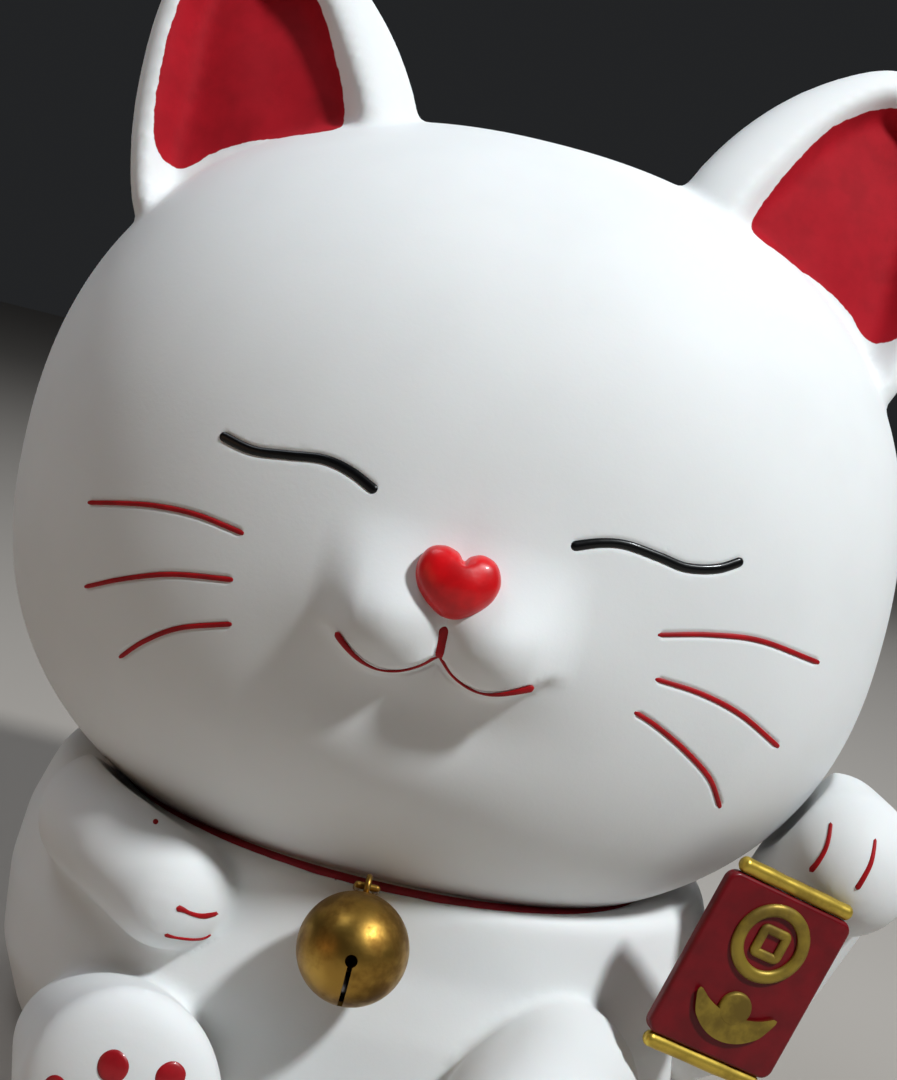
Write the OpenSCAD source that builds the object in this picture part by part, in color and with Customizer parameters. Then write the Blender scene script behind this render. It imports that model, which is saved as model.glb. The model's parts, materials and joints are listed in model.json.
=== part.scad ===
// Beckoning cat figurine: soft-vinyl castings with a turning head, a raised arm
// that holds a small hanging scroll, and a jingle bell on a painted collar.
// Origin: centre of the flat base, on the ground. +X is the cat's left, -Y its front.

/* [Head] */
// Width of the head
head_w = 165; // [150:1:180]
// Height of the head's widest level above the ground
head_level = 106; // [104:1:110]
// Height of the crown above the widest level
crown_h = 76; // [70:1:82]
// Depth of the full round below the widest level
jowl_h = 67; // [64:1:70]
// Reach of the face in front of the neck axis
face_reach = 68; // [64:1:70]
// Reach of the back of the head behind the neck axis
nape_reach = 62; // [58:1:68]
// Squareness of the head's rounding, where 2 is an ellipsoid
head_power = 2.3; // [2:0.1:2.6]
// Thickness of the vinyl
wall = 4; // [3:0.5:5]

/* [Torso] */
// Height of the torso under the head
torso_h = 51.6; // [50:0.1:51.7]
// Width of the torso
torso_w = 138; // [130:1:142]
// Radius of the neck spigot that the head turns on
neck_r = 34; // [30:1:36]
// Half width of the collar's inner face
collar_w = 50; // [48:0.5:52]
// Reach of the collar's inner face in front of the neck axis and behind it
collar_r = 45.5; // [43:0.5:45.5]
// Height of the collar band
collar_h = 3; // [2:0.5:3]

/* [Bell] */
// Outer radius of the bell
bell_r = 9.1; // [8:0.1:9.1]
// Thickness of the bell's metal
bell_wall = 0.8; // [0.6:0.1:1.2]

/* [Scroll] */
// Width of the scroll panel
scroll_w = 25; // [20:1:25]
// Length of the scroll panel between its rods
scroll_l = 30.5; // [26:0.5:31]
// Radius of the scroll's rods
rod_r = 1.4; // [1.2:0.1:1.6]

/* [Feet and base] */
// Width of a foot
foot_w = 32; // [28:1:33]
// Height of a foot
foot_h = 37; // [36:1:38]
// Reach of the soles in front of the neck axis
sole_reach = 83; // [80:1:88]
// Radius of the stopper in the base
plug_r = 17; // [14:1:20]
// Thickness of the anti-slip ring under the base
pad_t = 1.2; // [1:0.1:1.5]

/* [Hidden] */

eps = 0.01;
fit_gap = 0.05;        // radial clearance of the turning spigots
part_gap = 0.5;        // clearance between castings that move past each other
glue_gap = 0.1;        // clearance between castings glued together
head_cut = 52;         // height of the head's flat underside
ring_sides = 48;       // points around a lofted casting
plan_power = 2.2;      // squareness of the castings seen from above
white = "ivory";
crimson = "firebrick";
gold = "goldenrod";

function spow(v, p) = sign(v) * pow(abs(v), p);

// One ring of a lofted casting: half width, reach to the front and reach to the back
function loft_ring(z, half_w, front, back) = [
    for (i = [0 : ring_sides - 1])
        let (a = 360 * i / ring_sides, s = spow(sin(a), 2 / plan_power))
            [half_w * spow(cos(a), 2 / plan_power), s * (s < 0 ? front : back), z]
];

// Solid through a stack of rings, closed by flat ends
module loft(rings) {
    n = len(rings);
    k = ring_sides;
    sides = [
        for (r = [0 : n - 2], i = [0 : k - 1])
            let (j = (i + 1) % k)
                [r * k + i, r * k + k + i, r * k + k + j, r * k + j]
    ];
    polyhedron([for (ring = rings) each ring],
        concat(sides, [[for (i = [0 : k - 1]) i], [for (i = [k - 1 : -1 : 0]) (n - 1) * k + i]]));
}

// Share of the head's half width left at a height above or below its widest level
function head_share(dz, reach) = pow(max(0, 1 - pow(abs(dz) / reach, head_power)), 1 / head_power);

// Two soft swellings beside the nose and one under the mouth
muzzle_out = 5.6;
function muzzle(x, dz) =
    muzzle_out * exp(-(pow(abs(x) - 9, 2) + pow(dz + 5, 2) * 1.3) / 130)
    + 1.2 * exp(-(pow(x, 2) * 0.4 + pow(dz + 30, 2)) / 90);

function head_ring(dz, skin) =
    let (share = head_share(dz, (dz > 0 ? crown_h : jowl_h) - skin))
        [
            for (p = loft_ring(head_level + dz, (head_w / 2 - skin) * share,
                (face_reach - skin) * share, (nape_reach - skin) * share))
                p[1] < 0 ? [p[0], p[1] - muzzle(p[0], dz) * -p[1] / face_reach, p[2]] : p
        ];

// The head's rounded form, from a flat underside at height z0 to a small flat at the crown
module head_form(skin, z0) {
    low = z0 - head_level;
    high = crown_h - skin;
    lower = [for (i = [0 : 7]) head_ring(low * cos(i * 90 / 8), skin)];
    upper = [for (i = [0 : 12]) head_ring((high - eps) * sin(i * 90 / 12), skin)];
    loft(concat(lower, upper));
}

// An ellipsoid for the soft castings
module blob(p, size, sides = 24) {
    translate(p) scale(size) sphere(r = 1, $fn = sides);
}

// Merges soft castings into one even skin
module one_skin() {
    resize([0, 0, 0]) union() children();
}

// Ear: a rounded slab with a scooped front
module ear(side) {
    scoop_y = -19;
    translate([0, 0, head_level]) difference() {
        hull() {
            blob([side * 42, -10, 76], [15, 9.5, 15]);
            blob([side * 62, -6, 91], [14, 8, 14]);
            blob([side * 66, -6, 52], [10.5, 10, 12]);
            blob([side * 44, -4, 58], [12, 12, 12]);
        }
        hull() {
            blob([side * 47, scoop_y, 76], [9.5, 4.5, 9.5]);
            blob([side * 62, scoop_y + 4, 89], [9.5, 4.5, 9.5]);
            blob([side * 65, scoop_y + 1, 60], [7, 4.5, 7]);
        }
    }
}

module head_shell() {
    color(white) difference() {
        one_skin() difference() {
            union() {
                head_form(0, head_cut);
                ear(-1);
                ear(1);
            }
            head_form(wall, head_cut + wall);
            translate([0, 0, head_cut - 1]) cylinder(r = neck_r - 3, h = wall + 2, $fn = 48);
        }
        translate([0, 0, head_cut - 1]) cylinder(r = neck_r, h = wall + 1.5, $fn = 96);
    }
}

// Heart-shaped nose, seated on the face
nose_y = -70.5;
nose_z = head_level + 3;
module nose() {
    color("red") one_skin() difference() {
        for (side = [-1, 1])
            hull() {
                blob([side * 2.9, nose_y, nose_z + 0.2], [3.7, 4.2, 3.7], 16);
                blob([0, nose_y, nose_z - 4.4], [2.1, 3.7, 2], 16);
            }
        head_form(0, head_cut);
    }
}

// Torso: half width, front and back at each height, as shares of the torso's own sizes
torso_front = 55;
torso_back = 57;
torso_levels = [
    [0, 0.86, 0.92, 0.88], [0.05, 0.91, 0.97, 0.93], [0.27, 0.98, 1, 1], [0.53, 1, 0.965, 1],
    [0.74, 0.985, 0.915, 0.95], [0.9, 0.95, 0.905, 0.91], [0.97, 0.93, 0.9, 0.88],
    [1, 0.9, 0.885, 0.85]
];
module torso_form(skin) {
    inner_h = torso_h - pad_t - 2 * skin;
    loft([
        for (v = torso_levels)
            loft_ring(pad_t + skin + v[0] * inner_h, v[1] * torso_w / 2 - skin,
                v[2] * torso_front - skin, v[3] * torso_back - skin)
    ]);
}

// Left shoulder: the axis lies along X
shoulder_y = -12;
shoulder_z = 32;
shoulder_x = 57;       // distance of the flat seat from the midplane
shoulder_r = 16;       // radius of the arm's round root
shoulder_pin_r = 9;
arm_travel = 6;        // the raised arm turns forward by this angle
module on_shoulder(x) {
    translate([x, shoulder_y, shoulder_z]) rotate([0, 90, 0]) children();
}

// Space the torso takes up around the arm, with the arm turned forward by an angle
module torso_keepout(angle) {
    translate([0, shoulder_y, shoulder_z]) rotate([-angle, 0, 0]) translate([0, -shoulder_y, -shoulder_z])
        difference() {
            torso_form(-part_gap);
            on_shoulder(0) cylinder(r = shoulder_r + part_gap, h = 100, $fn = 48);
        }
}

// Space the turning head sweeps beside and under its cheeks
module head_keepout() {
    level = head_level + 30;
    rotate_extrude($fn = 64) polygon([
        [0, head_cut - part_gap],
        for (dz = [head_cut - head_level : 6 : 30])
            [head_w / 2 * head_share(dz, jowl_h) + part_gap, head_level + dz - part_gap],
        [0, level]
    ]);
}

// Oval plate, grown outward from the collar's inner face
collar_out = 3.1;
module collar_plate(grow, h) {
    linear_extrude(h) polygon([
        for (p = loft_ring(0, collar_w + grow, collar_r + grow, collar_r + grow)) [p[0], p[1]]
    ]);
}

neck_top = 59.5;
neck_bore = 29;
collar_z = torso_h - collar_h;
base_z = pad_t;
module torso_shell() {
    color(white) difference() {
        union() {
            difference() {
                torso_form(0);
                torso_form(wall);
                on_shoulder(shoulder_x) cylinder(r = shoulder_r + part_gap, h = 30, $fn = 64);
            }
            on_shoulder(shoulder_x - wall) cylinder(r = shoulder_r, h = wall, $fn = 64);
            translate([0, 0, torso_h - wall]) cylinder(r = neck_r - fit_gap, h = neck_top - torso_h + wall, $fn = 96);
            translate([0, 0, head_cut + wall + part_gap])
                cylinder(r = neck_r + 2.5, h = neck_top - head_cut - wall - part_gap, $fn = 96);
        }
        translate([0, 0, torso_h - wall - 1]) cylinder(r = neck_bore, h = 20, $fn = 96);
        translate([0, 0, collar_z]) difference() {
            collar_plate(collar_out + glue_gap, collar_h + 1);
            translate([0, 0, -1]) collar_plate(0, collar_h + 3);
        }
        staple_legs(bar_r + glue_gap);
        on_shoulder(shoulder_x - wall - 1) cylinder(r = shoulder_pin_r + fit_gap, h = wall + 2, $fn = 64);
        translate([0, 0, base_z - 1]) cylinder(r = plug_r, h = wall + 2, $fn = 64);
    }
}

// Lowered arm, lying on the chest with the paw down
module right_arm_form(skin) {
    hull() {
        blob([-49, -30, 46], [12 + skin, 13 + skin, 11.5 + skin]);
        blob([-42, -41, 45.5], [11 + skin, 10.5 + skin, 10 + skin]);
        blob([-33.5, -47.5, 42.5], [10 + skin, 9.5 + skin, 10 + skin]);
    }
}
module right_arm() {
    color(white) one_skin() difference() {
        right_arm_form(0);
        torso_form(-glue_gap);
        head_keepout();
        translate([0, 0, collar_z - glue_gap]) collar_plate(collar_out + 0.3, 20);
    }
}

// Raised arm: shoulder seat, elbow, and a paw that bends forward over the scroll's rod
module left_arm() {
    color(white) union() {
        one_skin() difference() {
            union() {
                hull() {
                    on_shoulder(shoulder_x + part_gap) cylinder(r = shoulder_r, h = 9, $fn = 48);
                    blob([74, -14, 36], [11.5, 13.5, 14]);
                }
                hull() {
                    blob([74, -14, 38], [11.5, 13.5, 14]);
                    blob([80.5, -19, 62], [12, 12, 12]);
                }
                hull() {
                    blob([80.5, -20, 68], [12.5, 12.5, 15]);
                    blob([80, -33, 70.5], [12.5, 13, 13]);
                }
            }
            head_keepout();
            for (angle = [0 : 5 : arm_travel + 2]) torso_keepout(angle);
            on_rod(scroll_l / 2 + rod_r, glue_gap / 2);
        }
        on_shoulder(shoulder_x - wall - 3) cylinder(r = shoulder_pin_r, h = wall + 6, $fn = 64);
        on_shoulder(shoulder_x - wall - 3) cylinder(r = shoulder_pin_r + 2, h = 2.6, $fn = 64);
    }
}

// Outstretched foot with an upright sole, over a lower instep; side is -1 for the cat's right
module foot_form(side, instep, thigh) {
    half = foot_w / 2;
    hull() {
        blob([side * 31, -sole_reach + 8, foot_h / 2 - 1], [half, 8, foot_h / 2 + 1], 32);
        blob([side * 33, -60, instep / 2 - 1], [half, 12, instep / 2 + 1], 32);
        blob([side * 38, -46, thigh / 2 - 1], [half, 10, thigh / 2 + 1], 32);
    }
}
module foot_trims() {
    torso_form(-glue_gap);
    translate([0, 0, base_z - 50]) cube([300, 300, 100], center = true);
}
module right_foot() {
    color(white) one_skin() difference() {
        foot_form(-1, foot_h - 10, foot_h - 12);
        foot_trims();
        right_arm_form(glue_gap);
    }
}
module left_foot() {
    color(white) one_skin() difference() {
        foot_form(1, foot_h, foot_h + 2);
        foot_trims();
    }
}

module tail() {
    color(white) one_skin() difference() {
        hull() {
            blob([0, 52, 18], [9, 9, 9]);
            blob([5, 61, 21], [8.5, 8.5, 9]);
            blob([10, 60, 31], [7, 7, 8]);
        }
        torso_form(-glue_gap);
    }
}

module collar_band() {
    edge = 0.6;
    color(crimson) difference() {
        translate([0, 0, collar_z + eps]) {
            collar_plate(collar_out, collar_h - 0.1 - edge);
            hull() {
                translate([0, 0, collar_h - 0.2 - edge]) collar_plate(collar_out, eps);
                translate([0, 0, collar_h - 0.1 - eps]) collar_plate(collar_out - edge, eps);
            }
        }
        translate([0, 0, collar_z - 1]) collar_plate(0, collar_h + 2);
        staple_legs(bar_r + 0.05);
    }
}

// The bell hangs on a bar of the staple and swings forward on it
bell_x = -1.5;
bell_y = -60;
bell_z = 44.8;
bar_y = -54.5;
bar_z = 53.4;
bar_r = 0.6;
module staple_legs(r) {
    for (x = [bell_x - 1.6, bell_x + 1.6])
        hull() {
            translate([x, bar_y, bar_z]) sphere(r = r, $fn = 16);
            translate([x, -collar_r - 1.7, collar_z + 1.5]) sphere(r = r, $fn = 16);
        }
}
module collar_staple() {
    color(gold) {
        translate([bell_x - 1.6, bar_y, bar_z]) rotate([0, 90, 0]) cylinder(r = bar_r, h = 3.2, $fn = 24);
        staple_legs(bar_r);
    }
}

// Half of the bell with its seam rim. The lower half has a slot that ends in round holes.
// The bell leans on the chest, so its slot faces forward and down.
bell_tilt = 20;
module bell_half(sign) {
    rim_out = 0.15;
    rim_h = 0.4;
    hole_drop = 1.6;
    hole_r = 1;
    slot_w = 0.8;
    translate([bell_x, bell_y, bell_z]) rotate([-bell_tilt, 0, 0]) difference() {
        union() {
            sphere(r = bell_r, $fn = 48);
            cylinder(r = bell_r + rim_out, h = 2 * rim_h, center = true, $fn = 48);
        }
        sphere(r = bell_r - bell_wall, $fn = 48);
        translate([0, 0, -sign * (bell_r + 1)]) cube(2 * bell_r + 2, center = true);
        if (sign < 0) {
            translate([0, 0, -bell_r - hole_drop]) cube([slot_w, 3 * bell_r, 2 * bell_r], center = true);
            translate([0, 0, -hole_drop]) rotate([90, 0, 0])
                cylinder(r = hole_r, h = 3 * bell_r, center = true, $fn = 32);
        }
    }
}
module loop_ring(tube) {
    translate([bell_x, bar_y, bar_z]) rotate([0, 90, 0]) rotate_extrude($fn = 32)
        translate([bar_r + 1, 0]) circle(r = tube, $fn = 16);
}
module bell_upper_shell() {
    color(gold) difference() {
        bell_half(1);
        loop_ring(0.55);
    }
}
module bell_lower_shell() {
    color(gold) bell_half(-1);
}
module bell_loop() {
    color(gold) loop_ring(0.5);
}
module bell_pellet() {
    pellet_r = 2.2;
    color("dimgray") translate([bell_x, bell_y, bell_z - bell_r + bell_wall + pellet_r + 0.3])
        sphere(r = pellet_r, $fn = 32);
}

// The scroll hangs in its own frame: X across, Z up along the panel, -Y out of its face
scroll_place = [64.2, -49.5, 52.2];
scroll_roll = 14.5;
scroll_yaw = 12;
module on_scroll() {
    translate(scroll_place) rotate([0, scroll_roll, scroll_yaw]) children();
}
panel_t = 2.4;
module scroll_panel() {
    corner = 2;
    color(crimson) on_scroll() rotate([90, 0, 0])
        translate([0, 0, -panel_t / 2]) linear_extrude(panel_t) hull()
            for (x = [-1, 1], z = [-1, 1])
                translate([x * (scroll_w / 2 - corner), z * (scroll_l / 2 - corner)])
                    circle(r = corner, $fn = 24);
}
module on_rod(z, skin) {
    length = scroll_w - 2.4;
    on_scroll() translate([-length / 2, 0, z]) rotate([0, 90, 0])
        cylinder(r = rod_r + skin, h = length, $fn = 32);
}
module scroll_rod(z) {
    color(gold) on_rod(z, 0);
}
module scroll_top_rod() {
    scroll_rod(scroll_l / 2 + rod_r);
}
module scroll_bottom_rod() {
    scroll_rod(-scroll_l / 2 - rod_r);
}
// Raised motif: an old coin with a square hole above a small ingot
module scroll_motif() {
    coin_r = 6.2;
    color(gold) on_scroll() rotate([90, 0, 0]) translate([0, 0, panel_t / 2]) {
        translate([0, 6.5, 0]) linear_extrude(0.9) difference() {
            circle(r = coin_r, $fn = 48);
            circle(r = coin_r - 1.3, $fn = 48);
        }
        translate([0, 6.5, 0]) linear_extrude(0.9) difference() {
            square(5.4, center = true);
            square(3, center = true);
        }
        translate([0, -8, 0]) linear_extrude(0.9) difference() {
            circle(r = 6.5, $fn = 48);
            translate([0, 5]) circle(r = 6.5, $fn = 48);
        }
        translate([0, -6.6, 0]) linear_extrude(0.9) circle(r = 2.4, $fn = 32);
    }
}

module base_plug() {
    color("silver") {
        translate([0, 0, base_z + 0.5]) cylinder(r = plug_r, h = wall - 0.5, $fn = 64);
        translate([0, 0, base_z + wall]) cylinder(r = plug_r + 1.5, h = 1.5, $fn = 64);
    }
}
module base_pad() {
    pad_r = 46;
    color("dimgray") difference() {
        cylinder(r = pad_r, h = pad_t, $fn = 96);
        translate([0, 0, -1]) cylinder(r = pad_r - 8, h = pad_t + 2, $fn = 96);
    }
}

torso_shell();
head_shell();
nose();
right_arm();
left_arm();
right_foot();
left_foot();
tail();
collar_band();
collar_staple();
bell_upper_shell();
bell_lower_shell();
bell_loop();
bell_pellet();
scroll_panel();
scroll_top_rod();
scroll_bottom_rod();
scroll_motif();
base_plug();
base_pad();
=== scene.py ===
"""Looks for the beckoning cat figurine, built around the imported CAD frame."""

import json
import math

import bmesh
import bpy
import numpy as np
from mathutils import Matrix, Vector


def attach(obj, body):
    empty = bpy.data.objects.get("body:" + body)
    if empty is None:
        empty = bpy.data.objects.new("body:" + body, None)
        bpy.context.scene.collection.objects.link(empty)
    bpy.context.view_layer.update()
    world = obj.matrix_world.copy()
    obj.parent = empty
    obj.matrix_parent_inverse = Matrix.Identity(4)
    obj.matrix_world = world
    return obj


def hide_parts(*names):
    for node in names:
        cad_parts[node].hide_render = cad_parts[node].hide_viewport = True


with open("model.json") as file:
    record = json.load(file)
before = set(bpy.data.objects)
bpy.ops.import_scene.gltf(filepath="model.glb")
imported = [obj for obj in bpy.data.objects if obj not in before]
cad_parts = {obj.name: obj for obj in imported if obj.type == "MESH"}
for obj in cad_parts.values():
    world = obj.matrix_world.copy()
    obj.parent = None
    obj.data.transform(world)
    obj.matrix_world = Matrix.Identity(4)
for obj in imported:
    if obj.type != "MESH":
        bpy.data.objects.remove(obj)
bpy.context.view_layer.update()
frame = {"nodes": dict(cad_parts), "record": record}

MM = 0.001
HEAD_LEVEL = 106.0  # height of the head's widest level, in millimetres like every size below
HEAD_HALF_W, FACE_REACH, NAPE_REACH = 82.5, 68.0, 62.0
CROWN_H, JOWL_H = 76.0, 67.0
HEAD_POWER, PLAN_POWER = 2.3, 2.2
HEAD_CUT = 52.0  # height of the head's flat underside
FACE_Y = -20  # everything painted on the face lies in front of this


# ------------------------ camera and light

def look_from(place, target, roll_deg):
    """A camera matrix that looks from place to target, rolled anticlockwise by roll_deg."""
    forward = (target - place).normalized()
    right = forward.cross(Vector((0, 0, 1))).normalized()
    up = right.cross(forward)
    c, s = math.cos(math.radians(roll_deg)), math.sin(math.radians(roll_deg))
    right, up = right * c + up * s, up * c - right * s
    return Matrix.Translation(place) @ Matrix((right, up, -forward)).transposed().to_4x4()


def make_camera():
    """Close portrait view, a little above the nose and rolled so that the cat leans to the right."""
    elevation, azimuth, distance, roll = math.radians(7), math.radians(-1.4), 302.6, 14.0
    target = Vector((-1.0, 0, HEAD_LEVEL - 0.7))
    away = Vector((
        math.sin(azimuth) * math.cos(elevation),
        -math.cos(azimuth) * math.cos(elevation),
        math.sin(elevation),
    ))
    data = bpy.data.cameras.new("camera")
    data.sensor_fit = "VERTICAL"
    data.sensor_height = 36.0
    data.lens = 52.0
    data.clip_start = 0.01
    cam = bpy.data.objects.new("camera", data)
    cam.matrix_world = look_from((target + away * distance) * MM, target * MM, roll)
    bpy.context.scene.collection.objects.link(cam)
    bpy.context.scene.camera = cam


def area_light(name, place, target, size, power, colour):
    data = bpy.data.lights.new(name, "AREA")
    data.shape = "DISK"
    data.size = size
    data.energy = power
    data.color = colour
    lamp = bpy.data.objects.new(name, data)
    lamp.matrix_world = look_from(Vector(place), Vector(target), 0)
    bpy.context.scene.collection.objects.link(lamp)


def make_stage():
    """Pale floor, a key light from the upper right, soft top and back lights and a weak warm fill."""
    bpy.ops.mesh.primitive_plane_add(size=6, location=(0, 0, 0))
    floor = bpy.context.object
    floor.name = "floor"
    floor.data.materials.append(principled("pale_floor", (0.42, 0.38, 0.34), 0.7)[0])
    world = bpy.data.worlds.new("studio")
    world.use_nodes = True
    background = world.node_tree.nodes["Background"]
    background.inputs["Color"].default_value = (0.82, 0.86, 0.92, 1)
    background.inputs["Strength"].default_value = 0.02
    bpy.context.scene.world = world
    bpy.context.scene.view_settings.view_transform = "Standard"
    area_light("key", (0.50, -0.44, 0.86), (0, 0, 0.12), 0.10, 10.6, (0.92, 0.97, 1.0))
    area_light("top", (-0.42, -0.02, 0.90), (0, 0, 0.12), 0.5, 2.6, (0.85, 0.92, 1.0))
    area_light("back", (0.3, 0.9, 0.7), (0, 0, 0.1), 0.6, 2.0, (0.9, 0.95, 1.0))
    area_light("fill", (-0.7, -0.5, 0.12), (0, 0, 0.1), 0.5, 0.42, (1.0, 0.62, 0.36))


# ------------------------ materials

def principled(name, colour, roughness, **more):
    """Material and its shader; more sets sockets, with _ for the spaces in their names."""
    material = bpy.data.materials.new(name)
    material.use_nodes = True
    shader = material.node_tree.nodes["Principled BSDF"]
    shader.inputs["Base Color"].default_value = (*colour, 1)
    shader.inputs["Roughness"].default_value = roughness
    for key, value in more.items():
        shader.inputs[key.replace("_", " ")].default_value = value
    return material, shader


def node(material, kind, **settings):
    made = material.node_tree.nodes.new(kind)
    for key, value in settings.items():
        if hasattr(made, key):
            setattr(made, key, value)
        else:
            made.inputs[key.replace("_", " ")].default_value = value
    return made


def link(material, a, b):
    material.node_tree.links.new(a, b)


def noise(material, scale, detail=3.0, rough=0.5):
    """Noise in the part's own coordinates; scale is in features per metre."""
    coords = node(material, "ShaderNodeTexCoord")
    made = node(material, "ShaderNodeTexNoise", Scale=scale, Detail=detail, Roughness=rough)
    link(material, coords.outputs["Object"], made.inputs["Vector"])
    return made.outputs["Fac"]


def mixed(material, factor, a, b):
    """Colour a where factor is 0 and b where it is 1; each is a colour or a socket."""
    mix = node(material, "ShaderNodeMix", data_type="RGBA")
    for socket, value in ((mix.inputs[0], factor), (mix.inputs[6], a), (mix.inputs[7], b)):
        if isinstance(value, bpy.types.NodeSocket):
            link(material, value, socket)
        else:
            socket.default_value = value if isinstance(value, float) else (*value, 1)
    return mix.outputs[2]


def remap(material, value, low, high, to_low=0.0, to_high=1.0, smooth=True):
    made = node(material, "ShaderNodeMapRange")
    made.interpolation_type = "SMOOTHSTEP" if smooth else "LINEAR"
    for key, number in (("From Min", low), ("From Max", high), ("To Min", to_low), ("To Max", to_high)):
        made.inputs[key].default_value = number
    link(material, value, made.inputs["Value"])
    return made.outputs["Result"]


def bump(material, shader, height, distance_mm, strength=1.0):
    made = node(material, "ShaderNodeBump", Strength=strength, Distance=distance_mm * MM)
    link(material, height, made.inputs["Height"])
    link(material, made.outputs["Normal"], shader.inputs["Normal"])


WHITE = (0.80, 0.805, 0.80)
CRIMSON = (0.40, 0.003, 0.012)
DEEP_CRIMSON = (0.32, 0.002, 0.009)


def white_vinyl(name, painted=None):
    """Matte white vinyl. painted names a mesh attribute, the distance in mm into a red painted area."""
    material, shader = principled(
        name, WHITE, 0.5, Subsurface_Weight=0.08, Subsurface_Scale=0.003, Specular_IOR_Level=0.22
    )
    cloud = remap(material, noise(material, 45.0, 4.0), 0.35, 0.7)
    colour = mixed(material, cloud, WHITE, tuple(c * 0.965 for c in WHITE))
    gloss = remap(material, noise(material, 160.0), 0.3, 0.7, 0.54, 0.68)
    if painted:
        attribute = node(material, "ShaderNodeAttribute", attribute_name=painted)
        wobble = node(material, "ShaderNodeMath", operation="MULTIPLY_ADD")
        link(material, noise(material, 420.0, 2.0), wobble.inputs[0])
        wobble.inputs[1].default_value = 0.7
        link(material, attribute.outputs["Fac"], wobble.inputs[2])
        inside = remap(material, wobble.outputs[0], 0.25, 0.42)
        streaks = remap(material, noise(material, 130.0, 5.0, 0.6), 0.35, 0.7)
        red = mixed(material, streaks, CRIMSON, DEEP_CRIMSON)
        colour = mixed(material, inside, colour, red)
        gloss = remap(material, inside, 0, 1, 0.6, 0.8)
    link(material, gloss, shader.inputs["Roughness"])
    link(material, colour, shader.inputs["Base Color"])
    bump(material, shader, noise(material, 1500.0, 4.0, 0.6), 0.035, 0.5)
    return material


def paint(name, colour, roughness, coat=0.0, specular=0.4):
    """Hand-brushed enamel: colour drifts a little and the surface isn't quite level."""
    material, shader = principled(
        name, colour, roughness, Specular_IOR_Level=specular, Coat_Weight=coat, Coat_Roughness=0.08
    )
    drift = remap(material, noise(material, 260.0, 3.0), 0.3, 0.7)
    thick = tuple(c * 0.72 for c in colour)
    link(material, mixed(material, drift, colour, thick), shader.inputs["Base Color"])
    bump(material, shader, noise(material, 700.0, 3.0), 0.08, 0.5)
    return material


def worn_gold(name, bright, dull, roughness, metallic):
    """Gold whose colour and gloss vary in soft patches, with fine brush marks."""
    material, shader = principled(name, bright, roughness, Metallic=metallic)
    patches = remap(material, noise(material, 140.0, 4.0, 0.6), 0.38, 0.66)
    link(material, mixed(material, patches, bright, dull), shader.inputs["Base Color"])
    gloss = remap(material, patches, 0, 1, roughness, roughness + 0.16)
    link(material, gloss, shader.inputs["Roughness"])
    bump(material, shader, noise(material, 900.0, 3.0), 0.05, 0.4)
    return material


# ------------------------ mesh helpers

def new_object(name, verts_mm, faces, material, body=None):
    mesh = bpy.data.meshes.new(name)
    mesh.from_pydata((np.asarray(verts_mm) * MM).tolist(), [], faces)
    mesh.update()
    obj = bpy.data.objects.new(name, mesh)
    bpy.context.scene.collection.objects.link(obj)
    finish_surface(obj, material)
    if body:
        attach(obj, body)
    return obj


def finish_surface(obj, material, sharp_deg=45):
    obj.data.materials.clear()
    obj.data.materials.append(material)
    for polygon in obj.data.polygons:
        polygon.use_smooth = True
    obj.data.set_sharp_from_angle(angle=math.radians(sharp_deg))


def get_points(obj):
    co = np.empty(len(obj.data.vertices) * 3)
    obj.data.vertices.foreach_get("co", co)
    return co.reshape(-1, 3) / MM


def set_points(obj, points_mm):
    obj.data.vertices.foreach_set("co", (np.asarray(points_mm) * MM).ravel())
    obj.data.update()


def apply_modifiers(obj):
    depsgraph = bpy.context.evaluated_depsgraph_get()
    mesh = bpy.data.meshes.new_from_object(obj.evaluated_get(depsgraph))
    obj.modifiers.clear()
    old = obj.data
    obj.data = mesh
    bpy.data.meshes.remove(old)


def voxel_skin(obj, voxel_mm, smooth_steps):
    """One even quad skin over everything in obj, then smoothed."""
    remesh = obj.modifiers.new("skin", "REMESH")
    remesh.mode = "VOXEL"
    remesh.voxel_size = voxel_mm * MM
    if smooth_steps:
        smooth = obj.modifiers.new("smooth", "SMOOTH")
        smooth.iterations = smooth_steps
        smooth.factor = 0.5
    apply_modifiers(obj)


def boolean(obj, cutter, operation="DIFFERENCE"):
    modifier = obj.modifiers.new("cut", "BOOLEAN")
    modifier.operation = operation
    modifier.solver = "MANIFOLD"
    modifier.object = cutter
    apply_modifiers(obj)
    bpy.data.objects.remove(cutter)


def quad_sphere(n):
    """Unit directions and quads of a cube projected to a sphere, with n cells along each edge."""
    line = np.tan(np.linspace(-math.pi / 4, math.pi / 4, n + 1))
    a, b = np.meshgrid(line, line, indexing="ij")
    one = np.ones_like(a)
    sides = [
        np.stack(p, -1).reshape(-1, 3)
        for p in ((one, a, b), (-one, b, a), (b, one, a), (a, -one, b), (a, b, one), (b, a, -one))
    ]
    quads = []
    for s in range(6):
        start = s * (n + 1) ** 2
        for i in range(n):
            row = start + i * (n + 1)
            quads += [(row + j, row + n + 1 + j, row + n + 2 + j, row + j + 1) for j in range(n)]
    points = np.concatenate(sides)
    return points / np.linalg.norm(points, axis=1)[:, None], quads


def merge_doubles(obj, distance_mm=0.01):
    bm = bmesh.new()
    bm.from_mesh(obj.data)
    bmesh.ops.remove_doubles(bm, verts=bm.verts, dist=distance_mm * MM)
    bmesh.ops.recalc_face_normals(bm, faces=bm.faces)
    bm.to_mesh(obj.data)
    bm.free()


def around_circle(count):
    return np.linspace(0, 2 * math.pi, count, endpoint=False)


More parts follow.
